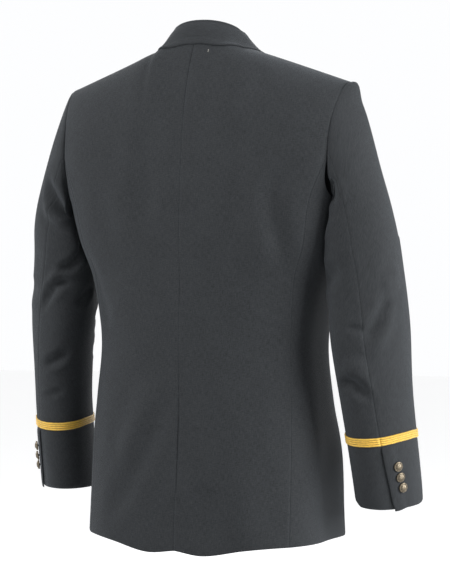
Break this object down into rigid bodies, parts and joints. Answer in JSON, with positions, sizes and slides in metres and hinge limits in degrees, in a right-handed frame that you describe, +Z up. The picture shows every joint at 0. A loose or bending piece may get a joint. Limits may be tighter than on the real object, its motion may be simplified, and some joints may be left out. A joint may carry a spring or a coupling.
{
  "type": "army dress uniform jacket",
  "caption": "Single-breasted dress uniform jacket with notched lapels, folded collar, gold cuff braid and buttoned cuff vents, hanging hollow as worn.",
  "frame": {"origin": "middle of the neck opening, level with the side neck points, where the worn jacket rests on the shoulders", "axes": "+Z up along the body, -Y the way the wearer faces, +X the wearer's left"},
  "size_m": [0.6514, 0.323, 0.8148],
  "materials": {
    "dark_wool": "matt plain weave",
    "gold_braid": "ribbed braid with a soft sheen",
    "antique_brass": "darkened and brushed"
  },
  "bodies": {
    "root": {"back_left": "dark_wool", "back_right": "dark_wool", "side_left": "dark_wool", "side_right": "dark_wool", "front_left": "dark_wool", "front_right": "dark_wool", "lapel_left": "dark_wool", "lapel_right": "dark_wool", "collar": "dark_wool", "sleeve_top_left": "dark_wool", "sleeve_top_right": "dark_wool", "sleeve_under_left": "dark_wool", "sleeve_under_right": "dark_wool", "braid_top_left": "gold_braid", "braid_top_right": "gold_braid", "braid_under_left": "gold_braid", "braid_under_right": "gold_braid", "front_button_1": "antique_brass", "front_button_2": "antique_brass", "front_button_3": "antique_brass", "front_button_4": "antique_brass", "cuff_button_left_1": "antique_brass", "cuff_button_left_2": "antique_brass", "cuff_button_left_3": "antique_brass", "cuff_button_right_1": "antique_brass", "cuff_button_right_2": "antique_brass", "cuff_button_right_3": "antique_brass"}
  },
  "joints": []
}
